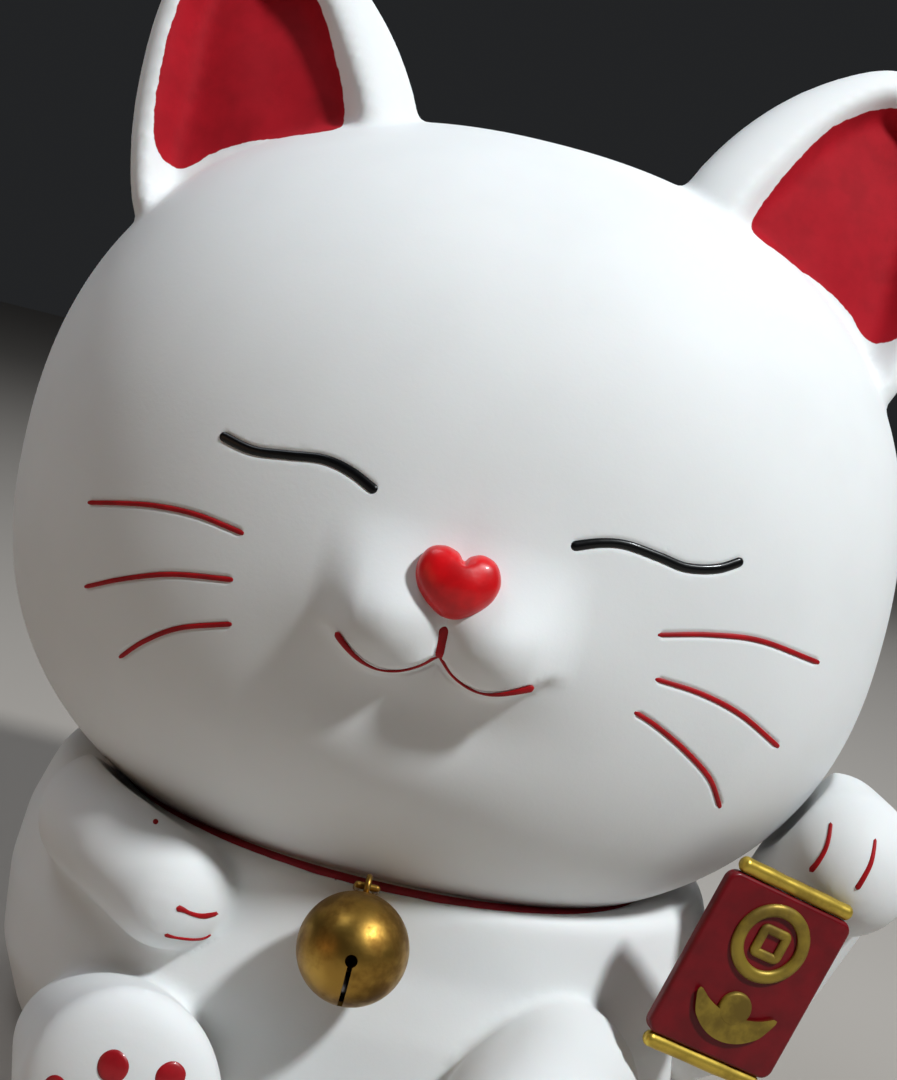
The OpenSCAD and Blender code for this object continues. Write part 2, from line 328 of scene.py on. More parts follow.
def ring_quads(rows, around, closed=False, flip=False, first=0):
    """Quads between rows of points, each row a ring; closed joins the last row to the first too."""
    quads = []
    for r in range(rows if closed else rows - 1):
        a, b = first + r * around, first + (r + 1) % rows * around
        for k in range(around):
            m = (k + 1) % around
            quads.append((a + k, b + k, b + m, a + m) if flip else (a + k, a + m, b + m, b + k))
    return quads


def end_caps(rows, around):
    """The two faces that close the first and the last row of a tube."""
    return [tuple(range(around)), tuple((rows - 1) * around + k for k in reversed(range(around)))]


def catmull_rom(a, b, c, d, u):
    return 0.5 * (
        2 * b + (c - a) * u + (2 * a - 5 * b + 4 * c - d) * u**2 + (3 * b - 3 * c + d - a) * u**3
    )


def closed_spline(points, count):
    """Closed Catmull-Rom curve through points, evenly sampled in parameter."""
    p = np.asarray(points, float)
    n = len(p)
    t = np.linspace(0, n, count, endpoint=False)
    i, u = t.astype(int), (t % 1)[:, None]
    return catmull_rom(*(p[(i + k) % n] for k in (-1, 0, 1, 2)), u)


def open_spline(points, step):
    """Open Catmull-Rom curve through points, resampled every step mm."""
    p = np.asarray(points, float)
    p = np.vstack([2 * p[0] - p[1], p, 2 * p[-1] - p[-2]])
    u = np.linspace(0, 1, 24, endpoint=False)[:, None]
    fine = np.vstack([catmull_rom(*p[i - 1:i + 3], u) for i in range(1, len(p) - 2)] + [p[-2:-1]])
    along = np.concatenate([[0], np.cumsum(np.linalg.norm(np.diff(fine, axis=0), axis=1))])
    even = np.linspace(0, along[-1], max(4, int(along[-1] / step)))
    return np.stack([np.interp(even, along, fine[:, k]) for k in range(p.shape[1])], -1)


# ------------------------ the head's form

def bell_curve(value, width):
    return np.exp(-((value / width) ** 2))


def soft_step(value, low, high):
    t = np.clip((value - low) / (high - low), 0, 1)
    return t * t * (3 - 2 * t)


def mouth_level(x):
    """Height of the mouth line, which sags once on each side of the middle."""
    return -9.8 - 4.1 * np.sin(math.pi * np.minimum(np.abs(x), 17) / 16.5)


def face_relief(x, dz):
    """Millimetres that the face stands out of the plain round form, seen from the front."""
    side = np.abs(x)
    mound = 2.8 * bell_curve(side - 8, 14) * bell_curve(dz + 5, 12)
    pad = soft_step(dz - mouth_level(x), -1.6, 1.4) * (1 - soft_step(dz, -5, 10))
    pad *= 1 - soft_step(side, 13.5, 21.5)
    lobe = pad * (2.4 + 2.2 * bell_curve(side - 9, 7) * bell_curve(dz + 7, 7))
    between = -1.3 * bell_curve(x, 2.4) * bell_curve(dz + 8, 5)
    under = -1.5 * bell_curve(x, 17) * bell_curve(dz + 18, 7)
    chin = 1.2 * bell_curve(x, 20) * bell_curve(dz + 32, 10)
    return mound + lobe + between + under + chin


def head_surface(directions):
    """Points of the head, relative to its centre, along unit directions."""
    d = np.asarray(directions, float)
    reach_y = np.where(d[:, 1] < 0, FACE_REACH, NAPE_REACH)
    reach_z = np.where(d[:, 2] > 0, CROWN_H, JOWL_H)
    plan = (np.abs(d[:, 0]) / HEAD_HALF_W) ** PLAN_POWER + (np.abs(d[:, 1]) / reach_y) ** PLAN_POWER
    form = plan ** (HEAD_POWER / PLAN_POWER) + (np.abs(d[:, 2]) / reach_z) ** HEAD_POWER
    p = d * (form ** (-1 / HEAD_POWER))[:, None]
    front = np.clip(-p[:, 1] / FACE_REACH, 0, 1) ** 2
    p[:, 1] -= face_relief(p[:, 0], p[:, 2]) * front
    return p


def unit(v):
    return v / np.linalg.norm(v, axis=-1, keepdims=True)


def on_face(xz):
    """Point and outward normal of the head's front at each (x, height above the widest level)."""
    xz = np.asarray(xz, float)
    low, high = np.full(len(xz), -90.0), np.full(len(xz), -5.0)
    for _ in range(40):
        y = (low + high) / 2
        trial = np.stack([xz[:, 0], y, xz[:, 1]], -1)
        size = np.linalg.norm(trial, axis=1)
        surface = np.linalg.norm(head_surface(trial / size[:, None]), axis=1)
        outside = size > surface
        low, high = np.where(outside, y, low), np.where(outside, high, y)
    return np.stack([xz[:, 0], (low + high) / 2, xz[:, 1]], -1)


def face_normals(xz, step=0.3):
    xz = np.asarray(xz, float)
    across = on_face(xz + [step, 0]) - on_face(xz - [step, 0])
    upward = on_face(xz + [0, step]) - on_face(xz - [0, step])
    return unit(np.cross(across, upward))


# ------------------------ ears

EAR_OUTLINE = [
    (69.5, 44), (73.8, 56), (75.8, 70), (75.6, 84), (72.3, 95.5), (65.6, 103), (58, 104.5),
    (48.5, 100.5), (38.5, 93), (30, 83), (24.5, 72), (24, 60), (32, 48), (48, 40), (62, 38),
]
EAR_CENTRE = np.array([54.0, 72.0])
EAR_PAINT = [
    (71.5, 70), (71.5, 84), (67.5, 94), (61, 97.5), (54, 95), (47, 89), (41, 79), (37.5, 70.5),
    (38.5, 67), (46, 64.5), (53, 62.5), (59.5, 59), (63, 55.5), (66.5, 55), (69.5, 58.5),
]


def polygon_distance(points, outline):
    """Signed distance of points to a closed outline, positive inside."""
    best = np.full(len(points), 1e9)
    inside = np.zeros(len(points), bool)
    for a, b in zip(outline, np.roll(outline, -1, axis=0)):
        edge, away = b - a, points - a
        t = np.clip((away @ edge) / (edge @ edge), 0, 1)
        best = np.minimum(best, np.linalg.norm(away - t[:, None] * edge, axis=1))
        crosses = (a[1] > points[:, 1]) != (b[1] > points[:, 1])
        rise = np.where(crosses, (points[:, 1] - a[1]) / (b[1] - a[1] + 1e-12), 0)
        inside ^= crosses & (points[:, 0] < a[0] + rise * edge[0])
    return np.where(inside, best, -best)


def ear_distance(points, outline, count):
    """Front-view distance into an outline on the left ear or its mirror image on the right one."""
    return polygon_distance(np.abs(points[:, [0, 2]]) - [0, HEAD_LEVEL], closed_spline(outline, count))


def ear_middle(x, dz):
    """Depth of the ear's middle sheet, which leans back towards the tip."""
    return -13 + 0.25 * (dz - 62) + 0.05 * (x - 50)


def ear_mesh(side):
    """A rounded triangular slab, thick along its inner edge, with a scooped front."""
    around, rings = 220, 44
    outline = closed_spline(EAR_OUTLINE, around)
    front, back = [], []
    for share in np.linspace(0, 1, rings) ** 1.25:
        xz = outline + (EAR_CENTRE - outline) * share
        inset = np.linalg.norm(outline - EAR_CENTRE, axis=1) * share
        inner = np.clip((62 - outline[:, 0]) / 38, 0, 1)
        rim = 4.5 + 6.0 * inner
        rim += (7.0 - rim) * soft_step(share, 0.45, 0.95)
        middle = ear_middle(xz[:, 0], xz[:, 1])
        round_in = np.sqrt(np.clip(1 - (1 - np.clip(inset / rim, 0, 1)) ** 2, 0, 1))
        past = np.clip((inset - rim * 0.8) / 7.0, 0, 1)
        scoop = 6.0 * past * past * (3 - 2 * past)
        front.append(np.stack([xz[:, 0], middle - rim * round_in + scoop, xz[:, 1]], -1))
        bulge = 3.0 * (1 - (1 - share) ** 2)
        back.append(np.stack([xz[:, 0], middle + rim * round_in * 0.9 + bulge, xz[:, 1]], -1))
    layers = front[::-1] + back[1:]
    points = np.concatenate(layers)
    points[:, 0] *= side
    points[:, 2] += HEAD_LEVEL
    return points, ring_quads(len(layers), around)


# ------------------------ painted lines of the face

EYE_LINES = [
    [(-40.6, 14.1), (-35, 13.2), (-29.5, 13.9), (-24, 14.7), (-19.5, 14.0), (-14.8, 12.0)],
    [(15.4, 11.0), (20, 12.6), (24, 13.1), (29.5, 12.4), (34, 11.7), (39, 12.5), (43, 14.5)],
]
WHISKER_LINES = [
    [(-60.5, -2.8), (-54, -0.8), (-48, 0.6), (-41, 1.2), (-33, 0.5)],
    [(-58, -16.4), (-51, -12.4), (-43, -9.0), (-33, -6.8)],
    [(-49.5, -25.8), (-45.5, -21.2), (-40, -17.0), (-31.7, -13.6)],
    [(32, 0.6), (41, 2.2), (50, 2.5), (62, 0.1)],
    [(33.5, -6.2), (42, -7.4), (50, -10.0), (59, -15.0)],
    [(31.7, -12.0), (35.9, -13.7), (42, -17.1), (48, -21.6), (52, -27.0)],
]
MOUTH_LINES = [
    [(-16.0, -9.6), (-12.2, -12.4), (-8.7, -13.8), (-5.2, -13.6), (-2.0, -11.9), (0.1, -9.8)],
    [(0.1, -9.8), (2.8, -12.4), (6.4, -13.6), (10.2, -12.9), (15.2, -10.6)],
]
PHILTRUM_LINE = [(-0.2, -4.4), (0.0, -7.2), (0.1, -10.2)]


def line_distance(xz, lines, reach):
    """Distance in the front view from each point to the nearest of the lines, short of their ends."""
    best = np.full(len(xz), reach * 4.0)
    for line in lines:
        curve = open_spline(line, 0.4)[3:-3]
        near = ((xz > curve.min(axis=0) - reach) & (xz < curve.max(axis=0) + reach)).all(axis=1)
        spots = xz[near]
        for a, b in zip(curve[:-1], curve[1:]):
            edge = b - a
            t = np.clip(((spots - a) @ edge) / (edge @ edge), 0, 1)
            best[near] = np.minimum(best[near], np.linalg.norm(spots - a - t[:, None] * edge, axis=1))
    return best


GROOVES = [  # lines, half width, depth
    (EYE_LINES, 0.85, 0.3), (WHISKER_LINES, 0.5, 0.3), (MOUTH_LINES, 0.65, 0.5),
    ([PHILTRUM_LINE], 0.95, 0.45),
]


def bead_halves(spots, widths, blunt):
    """Half width of a line of paint at each of its spots, rounded off at both ends."""
    s = np.linspace(0, 1, len(spots))
    half = np.interp(s, np.linspace(0, 1, len(widths)), widths) / 2
    length = np.linalg.norm(np.diff(spots, axis=0), axis=1).sum()
    tip = np.clip(np.minimum(s, 1 - s) * length / half, 0, 1)
    return half * np.sqrt(np.clip(1 - (1 - tip) ** 2, blunt, 1))


def bead(name, spots, normals, half, sides, lift_of, material, body):
    """Closed bead of paint along spots. lift_of gives a side's height from the sine of its angle."""
    across = unit(np.cross(unit(np.gradient(spots, axis=0)), normals))
    rows = []
    for a in around_circle(sides):
        rows.append(spots + across * (half * math.cos(a))[:, None] + normals * lift_of(math.sin(a)))
    points = np.stack(rows, 1).reshape(-1, 3)
    n = len(spots)
    return new_object(name, points, ring_quads(n, sides) + end_caps(n, sides), material, body)


def painted_line(name, line, widths, sink, crown, material):
    """A bead of paint lying in its groove on the face. widths is the full width in mm along the line."""
    curve = open_spline(line, 0.22)
    half = bead_halves(curve, widths, 0.02)
    share = half / half.max()

    def lift_of(rise):
        return ((crown * max(rise, 0) + 0.5 * min(rise, 0)) * share - sink)[:, None]

    spots = on_face(curve) + [0, 0, HEAD_LEVEL]
    bead(name, spots, face_normals(curve), half, 12, lift_of, material, "head")


def refine_near_lines(obj):
    """Halves the faces near the painted lines twice."""
    for reach in (2.2, 1.5):
        bm = bmesh.new()
        bm.from_mesh(obj.data)
        bm.verts.ensure_lookup_table()
        co = np.array([v.co for v in bm.verts]) / MM
        close = np.zeros(len(co), bool)
        front = co[:, 1] < FACE_Y
        xz = co[front][:, [0, 2]] - [0, HEAD_LEVEL]
        distance = np.min([line_distance(xz, lines, reach + 1) for lines, _, _ in GROOVES], axis=0)
        close[np.flatnonzero(front)[distance < reach]] = True
        edges = [e for e in bm.edges if close[e.verts[0].index] and close[e.verts[1].index]]
        bmesh.ops.subdivide_edges(bm, edges=edges, cuts=1, use_grid_fill=True)
        bm.to_mesh(obj.data)
        bm.free()


def snap_to_head(points, weight):
    """Moves points to the exact head surface by weight."""
    away = points - [0, 0, HEAD_LEVEL]
    exact = head_surface(unit(away)) + [0, 0, HEAD_LEVEL]
    return points + (exact - points) * weight[:, None]


def make_head(material):
    directions, quads = quad_sphere(120)
    points = head_surface(directions) + [0, 0, HEAD_LEVEL]
    faces = list(quads)
    for side in (-1, 1):
        ear, ear_quads = ear_mesh(side)
        faces += [tuple(i + len(points) for i in q) for q in ear_quads]
        points = np.concatenate([points, ear])
    head = new_object("head_casting", points, faces, material)
    merge_doubles(head)
    voxel_skin(head, 1.0, 3)
    co = get_points(head)
    on_ball = (ear_distance(co, EAR_OUTLINE, 160) <= -3) | (np.abs(co[:, 1]) >= 45)
    set_points(head, snap_to_head(co, on_ball.astype(float)))
    refine_near_lines(head)
    co = get_points(head)
    front = co[:, 1] < FACE_Y
    weight = np.zeros(len(co))
    weight[front] = ear_distance(co[front], EAR_OUTLINE, 160) <= -3
    co = snap_to_head(co, weight)
    xz = co[front][:, [0, 2]] - [0, HEAD_LEVEL]
    depth = np.zeros(front.sum())
    for lines, half, deep in GROOVES:
        share = np.clip(1 - line_distance(xz, lines, 2.0) / (half + 0.35), 0, 1)
        depth = np.maximum(depth, deep * share**0.5 * np.clip(share * 3, 0, 1))
    moved = np.flatnonzero(front)[depth > 0]
    co[moved] -= unit(co[moved] - [0, 0, HEAD_LEVEL]) * depth[depth > 0][:, None]
    set_points(head, co)
    in_scoop = co[:, 1] < ear_middle(np.abs(co[:, 0]), co[:, 2] - HEAD_LEVEL) + 2.8
    paint_depth = np.where(in_scoop, ear_distance(co, EAR_PAINT, 120), -9.0)
    attribute = head.data.attributes.new("ear_paint", "FLOAT", "POINT")
    attribute.data.foreach_set("value", paint_depth.astype(np.float32))
    finish_surface(head, material)
    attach(head, "head")
    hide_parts("head_shell")


# ------------------------ soft castings

def ellipsoid_cloud(centre, radii, count=26):
    """Points of an ellipsoid; radii is one number or three."""
    turn, rise = np.meshgrid(around_circle(2 * count), np.linspace(-math.pi / 2, math.pi / 2, count))
    ball = np.stack([np.cos(rise) * np.cos(turn), np.cos(rise) * np.sin(turn), np.sin(rise)], -1)
    return ball.reshape(-1, 3) * radii + centre


def disc_cloud(x, y, z, radius, count=64):
    """Points of a circle across the X axis."""
    a = around_circle(count)
    return np.stack([np.full(count, x), y + radius * np.cos(a), z + radius * np.sin(a)], -1)


def hull_object(name, cloud, material):
    """Convex solid round a cloud of points."""
    bm = bmesh.new()
    for point in np.vstack(cloud) * MM:
        bm.verts.new(point)
    made = bmesh.ops.convex_hull(bm, input=bm.verts)
    unused = set(made["geom_interior"]) | set(made["geom_unused"])
    bmesh.ops.delete(bm, geom=[v for v in unused if isinstance(v, bmesh.types.BMVert)], context="VERTS")
    bmesh.ops.recalc_face_normals(bm, faces=bm.faces)
    mesh = bpy.data.meshes.new(name)
    bm.to_mesh(mesh)
    bm.free()
    obj = bpy.data.objects.new(name, mesh)
    bpy.context.scene.collection.objects.link(obj)
    obj.data.materials.append(material)
    return obj


def join(objects, name):
    bpy.ops.object.select_all(action="DESELECT")
    for obj in objects:
        obj.select_set(True)
    bpy.context.view_layer.objects.active = objects[0]
    bpy.ops.object.join()
    objects[0].name = name
    return objects[0]


def lathe(name, profile, material, sides=160):
    """Closed solid of revolution round the Z axis. profile lists (radius, height) pairs in order."""
    a, n = around_circle(sides), len(profile)
    rows = [np.stack([r * np.cos(a), r * np.sin(a), np.full(sides, z)], -1) for r, z in profile]
    off_axis = [profile[i][0] or profile[(i + 1) % n][0] for i in range(n)]
    faces = [f for k, f in enumerate(ring_quads(n, sides, closed=True)) if off_axis[k // sides]]
    obj = new_object(name, np.concatenate(rows), faces, material)
    merge_doubles(obj, 0.001)
    return obj


def cylinder(name, start, axis, radius, length, sides=96):
    """Plain cylinder that begins at start and runs along axis ("X", "Y" or "Z")."""
    a = around_circle(sides)
    end = np.stack([radius * np.cos(a), radius * np.sin(a), np.zeros(sides)], -1)
    both = np.vstack([end, end + [0, 0, length]])
    if axis == "X":
        both = both[:, [2, 0, 1]]
    if axis == "Y":
        both = both[:, [1, 2, 0]]
    faces = [tuple(reversed(range(sides))), tuple(range(sides, 2 * sides))] + ring_quads(2, sides)
    return new_object(name, both + np.asarray(start), faces, vinyl)


TORSO_HALF_W, TORSO_FRONT, TORSO_BACK = 69.0, 55.0, 57.0
TORSO_BASE, TORSO_TOP = 1.2, 51.6
TORSO_LEVELS = np.array([  # share of the height, then of the half width, the front and the back
    [0, 0.86, 0.92, 0.88], [0.05, 0.91, 0.97, 0.93], [0.27, 0.98, 1, 1], [0.53, 1, 0.965, 1],
    [0.74, 0.985, 0.915, 0.95], [0.9, 0.95, 0.905, 0.91], [0.97, 0.93, 0.9, 0.88], [1, 0.9, 0.885, 0.85],
])


def squared_circle(sides):
    """Cosines and sines of the castings' slightly squared plan."""
    turn = around_circle(sides)
    return [np.sign(f) * np.abs(f) ** (2 / PLAN_POWER) for f in (np.cos(turn), np.sin(turn))]


def torso_sizes(share):
    """The torso's half width, front and back at a share of its height."""
    half, front, back = (np.interp(share, TORSO_LEVELS[:, 0], TORSO_LEVELS[:, k]) for k in (1, 2, 3))
    return half * TORSO_HALF_W, front * TORSO_FRONT, back * TORSO_BACK


def torso_form(name, grow=0.0, sides=200, levels=60):
    """The torso's closed form, grown outward by some millimetres."""
    share = np.linspace(0, 1, levels)
    height = TORSO_BASE - grow + share * (TORSO_TOP - TORSO_BASE + 2 * grow)
    cos, sin = squared_circle(sides)
    rings = []
    for half, front, back, z in zip(*torso_sizes(share), height):
        reach = np.where(sin < 0, front, back) + grow
        rings.append(np.stack([(half + grow) * cos, reach * sin, np.full(sides, z)], -1))
    faces = ring_quads(levels, sides) + [face[::-1] for face in end_caps(levels, sides)]
    return new_object(name, np.concatenate(rings), faces, vinyl)


def head_sweep(name, grow):
    """Everything the turning head passes through, as a solid of revolution."""
    top = 30  # above the widest level, where the sweep can end
    rel = np.linspace(HEAD_CUT - HEAD_LEVEL, top, 60)
    reach = np.where(rel > 0, CROWN_H, JOWL_H)
    radius = HEAD_HALF_W * (1 - (np.abs(rel) / reach) ** HEAD_POWER) ** (1 / HEAD_POWER) + grow
    profile = [(0, HEAD_CUT - grow)] + [(r, HEAD_LEVEL + z - grow) for r, z in zip(radius, rel)]
    return lathe(name, profile + [(0, HEAD_LEVEL + top - grow)], vinyl, 128)


# centres and radii of the ellipsoids that each casting is a hull of
GLUED_CASTINGS = {
    "right_arm": [
        ((-49, -30, 46), (12, 13, 11.5)), ((-42, -41, 45.5), (11, 10.5, 10)),
        ((-33.5, -47.5, 42.5), (10, 9.5, 10)),
    ],
    "right_foot": [
        ((-31, -75, 17.5), (16, 7.5, 19.5)), ((-33, -60, 12.5), (16, 12, 14.5)),
        ((-38, -46, 11.5), (16, 10, 13.5)),
    ],
    "left_foot": [
        ((31, -75, 17.5), (16, 7.5, 19.5)), ((33, -60, 17.5), (16, 12, 19.5)),
        ((38, -46, 18.5), (16, 10, 20.5)),
    ],
    "tail": [((0, 52, 18), (9, 9, 9)), ((5, 61, 21), (8.5, 8.5, 9)), ((10, 60, 31), (7, 7, 8))],
}


def hull_of(name, blobs):
    return hull_object(name, [ellipsoid_cloud(centre, radii) for centre, radii in blobs], vinyl)


def inside_share(points, blobs):
    """How deep points lie in a casting: below 1 is inside."""
    best = np.full(len(points), 9.0)
    for (c0, r0), (c1, r1) in zip(blobs[:-1], blobs[1:]):
        for t in np.linspace(0, 1, 7):
            centre = np.asarray(c0) * (1 - t) + np.asarray(c1) * t
            radii = np.asarray(r0) * (1 - t) + np.asarray(r1) * t
            best = np.minimum(best, np.linalg.norm((points - centre) / radii, axis=1))
    return best


SKIN = 0.9  # cell of the even skin
SHOULDER = (0, -12, 32)  # on the raised arm's axis, which lies along X
SHOULDER_SEAT, ARM_ROOT_R, PIN_R = 57, 16, 9
NECK_R, NECK_BORE = 33.95, 29
PLUG_R = 17.0
COLLAR_HALF_W, COLLAR_REACH = 50.0, 45.5  # inner face
COLLAR_Z = 48.6


def on_shoulder(name, x, radius, length):
    """Cylinder round the shoulder's axis."""
    return cylinder(name, (x, *SHOULDER[1:]), "X", radius, length)


def oval_sweep(name, profile, material, sides=240):
    """Closed ring round the neck; profile lists (growth from the collar's inner face, height)."""
    cos, sin = squared_circle(sides)
    rows = [
        np.stack([(COLLAR_HALF_W + grow) * cos, (COLLAR_REACH + grow) * sin, np.full(sides, z)], -1)
        for grow, z in profile
    ]
    ring = new_object(name, np.concatenate(rows), ring_quads(len(rows), sides, closed=True), material)
    merge_doubles(ring, 0.001)
    return ring


def owner_of_faces(mesh):
    """For each face, 0 for the torso or the place of its casting in GLUED_CASTINGS, counted from 1."""
    centres = np.empty(len(mesh.polygons) * 3)
    mesh.polygons.foreach_get("center", centres)
    centres = centres.reshape(-1, 3) / MM
    level = np.clip((centres[:, 2] - TORSO_BASE) / (TORSO_TOP - TORSO_BASE), 0, 1)
    half, front, back = torso_sizes(level)
    reach = np.where(centres[:, 1] < 0, front, back)
    plan = (np.abs(centres[:, 0]) / half) ** PLAN_POWER + (np.abs(centres[:, 1]) / reach) ** PLAN_POWER
    out_of_torso = plan ** (1 / PLAN_POWER) > 1.004
    owner = np.zeros(len(centres), int)
    for k, blobs in enumerate(GLUED_CASTINGS.values()):
        near = inside_share(centres, blobs)
        owner[out_of_torso & (near < 1.16) & ((owner == 0) | (near < 1.0))] = k + 1
    return owner


def make_lower_castings():
    """Torso, lowered arm, feet and tail as one even skin with soft joints, then parted at the joints."""
    shells = [torso_form("torso")] + [hull_of(name, blobs) for name, blobs in GLUED_CASTINGS.items()]
    skin = join(shells, "lower_castings")
    voxel_skin(skin, SKIN, 0)
    boolean(skin, cylinder("floor_cut", (0, 0, -30), "Z", 150, 30 + TORSO_BASE))
    boolean(skin, head_sweep("sweep", 0.3))
    voxel_skin(skin, SKIN, 7)
    boolean(skin, cylinder("floor_cut", (0, 0, -30), "Z", 150, 30 + TORSO_BASE))
    boolean(skin, on_shoulder("shoulder_seat", SHOULDER_SEAT, ARM_ROOT_R + 0.5, 30))
    groove = [(-0.1, 48.5), (3.2, 48.5), (3.2, 60), (-0.1, 60)]
    boolean(skin, oval_sweep("collar_groove", groove, vinyl))
    boolean(skin, cylinder("plug_hole", (0, 0, 0), "Z", PLUG_R, 5.2))
    boolean(skin, cylinder("neck", (0, 0, 45), "Z", NECK_R, 14.5), "UNION")
    boolean(skin, cylinder("neck_bore", (0, 0, 20), "Z", NECK_BORE, 60))
    mesh = skin.data
    even = np.array([normal.vector for normal in mesh.vertex_normals])
    source = mesh.attributes.new("source", "INT", "POINT")
    source.data.foreach_set("value", np.arange(len(mesh.vertices)))
    owner = owner_of_faces(mesh)
    made = {}
    for k, name in enumerate(["torso_shell", *GLUED_CASTINGS]):
        piece = skin.copy()
        piece.data = mesh.copy()
        piece.name = name + "_casting"
        bpy.context.scene.collection.objects.link(piece)
        bm = bmesh.new()
        bm.from_mesh(piece.data)
        bm.faces.ensure_lookup_table()
        away = [bm.faces[i] for i in np.flatnonzero(owner != k)]
        bmesh.ops.delete(bm, geom=away, context="FACES")
        at_joint = np.array([vert.is_boundary for vert in bm.verts])
        bm.to_mesh(piece.data)
        bm.free()
        finish_surface(piece, arm_vinyl if name == "right_arm" else vinyl)
        source = np.empty(len(at_joint), int)
        piece.data.attributes["source"].data.foreach_get("value", source)
        normals = even[source] * at_joint[:, None]  # zero keeps the mesh's own normal
        piece.data.normals_split_custom_set_from_vertices(normals.tolist())
        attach(piece, "torso")
        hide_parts(name)
        made[name] = piece
    bpy.data.objects.remove(skin)
    return made


def make_raised_arm():
    """Raised arm with its shoulder pin, kept clear of the turning head and of the torso."""
    elbow = ellipsoid_cloud((74, -14, 36), (11.5, 13.5, 14))
    discs = [disc_cloud(x, *SHOULDER[1:], ARM_ROOT_R) for x in (SHOULDER_SEAT + 0.5, SHOULDER_SEAT + 9.5)]
    root = hull_object("root", [*discs, elbow], vinyl)
    upper = hull_of("upper", [((74, -14, 38), (11.5, 13.5, 14)), ((80.5, -19, 62), (12, 12, 12))])
    paw = hull_of("paw", [((80.5, -20, 68), (12.5, 12.5, 15)), ((80, -33, 70.5), (12.5, 13, 13))])
    arm = join([root, upper, paw], "left_arm_casting")
    voxel_skin(arm, 0.8, 0)
    boolean(arm, head_sweep("sweep", 0.8))
    for turned in (0, 3, 6):
        body = torso_form("body", 0.8)
        pivot = Matrix.Translation(Vector(SHOULDER) * MM)
        body.matrix_world = pivot @ Matrix.Rotation(-math.radians(turned), 4, "X") @ pivot.inverted()
        boolean(body, on_shoulder("keep", 0, ARM_ROOT_R + 0.3, 100))
        boolean(arm, body)
    voxel_skin(arm, 0.8, 8)
    boolean(arm, on_shoulder("pin", SHOULDER_SEAT - 7, PIN_R, 10), "UNION")
    finish_surface(arm, vinyl)
    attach(arm, "raised_arm")
    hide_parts("left_arm")
    return arm


# ------------------------ small parts

NOSE_OUTLINE = [
    (0.3, 5.5), (1.2, 6.4), (3.0, 7.0), (5.2, 6.1), (6.4, 3.6), (5.9, 0.9), (4.1, -1.5),
    (1.8, -3.0), (0, -3.35), (-1.8, -3.0), (-4.1, -1.5), (-5.9, 0.9), (-6.4, 3.6), (-5.3, 6.2),
    (-3.1, 7.1), (-0.9, 6.6),
]
NOSE_MIDDLE = np.array([0.0, 1.9])
NOSE_CROWN, NOSE_ROOT = 4.4, 3.4  # how far it stands out of its seat, and reaches into it


def make_nose():
    """Puffy heart: one smooth dome, notched only near its upper rim, seated on the face."""
    around, rings = 144, 48
    seat = on_face([(0, 1.0)])[0][1]
    heart = closed_spline(NOSE_OUTLINE, around) - NOSE_MIDDLE
    plain = unit(heart) * [6.0, 5.0]
    layers = []
    for slope in np.linspace(0, math.pi, rings):
        spread = math.sin(slope)
        xz = NOSE_MIDDLE + (plain + (heart - plain) * soft_step(spread, 0.6, 0.98)) * spread
        reach = NOSE_CROWN if slope < math.pi / 2 else NOSE_ROOT
        y = seat - reach * math.copysign(abs(math.cos(slope)) ** 0.8, math.cos(slope))
        layers.append(np.stack([xz[:, 0], np.full(around, y), xz[:, 1] + HEAD_LEVEL], -1))
    nose = new_object("nose_heart", np.concatenate(layers), ring_quads(rings, around), nose_enamel)
    merge_doubles(nose)
    finish_surface(nose, nose_enamel)
    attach(nose, "head")
    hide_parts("nose")


def make_collar():
    """Painted band with rounded edges, seated in its groove."""
    section = [
        (0, 0), (2.6, 0), (3.0, 0.4), (3.1, 1.0), (3.1, 1.9), (2.95, 2.4), (2.6, 2.75), (2.1, 2.9),
        (0, 2.9),
    ]
    collar = oval_sweep("collar_band_painted", [(out, COLLAR_Z + z) for out, z in section], collar_paint)
    finish_surface(collar, collar_paint, 60)
    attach(collar, "torso")
    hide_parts("collar_band")


BELL = Vector((-1.5, -60, 44.8))
BELL_R, BELL_WALL = 9.1, 0.8
BELL_TILT, HOLE_DROP = 20.0, 1.6  # the bell leans on the chest, so its slot faces forward
HOLE_R, SLOT_W = 1.0, 0.8


def make_bell():
    """Two stamped halves; the lower one has a hole and a slot in its front."""
    arc = np.linspace(0, math.pi / 2, 40)
    profile = [
        (r * math.cos(a), r * math.sin(a))
        for r, turns in ((BELL_R, arc), (BELL_R - BELL_WALL, arc[::-1])) for a in turns
    ]
    profile = [(r if r > 0.001 else 0, z) for r, z in profile]
    lean = np.array(Matrix.Rotation(math.radians(-BELL_TILT), 3, "X"))
    out = 15  # past the bell's front
    for name, sign in (("bell_upper_shell", 1), ("bell_lower_shell", -1)):
        half = lathe(name + "_brass", [(r, sign * z) for r, z in profile], brass)
        if sign < 0:
            boolean(half, cylinder("hole", (0, -out, -HOLE_DROP), "Y", HOLE_R, out, 48))
            sides = (-SLOT_W / 2, SLOT_W / 2)
            box = [(x, y, z) for x in sides for y in (-out, 0) for z in (-20, -HOLE_DROP)]
            boolean(half, hull_object("slot", [np.array(box)], brass))
        merge_doubles(half, 0.002)
        set_points(half, get_points(half) @ lean.T + np.array(BELL))
        finish_surface(half, brass, 40)
        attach(half, "bell")
        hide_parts(name)


SCROLL_PLACE = Vector((64.2, -49.5, 52.2))
SCROLL_TURN = Matrix.Rotation(math.radians(12), 4, "Z") @ Matrix.Rotation(math.radians(14.5), 4, "Y")
SCROLL_W, SCROLL_L, ROD_R, PANEL_T = 25.0, 30.5, 1.4, 2.4
ROD_L = SCROLL_W - 2.4
MOTIF_FACE = -(PANEL_T / 2 + 0.3)  # depth of the motif's middle
COIN_Z, PEARL_Z = 6.6, -5.9


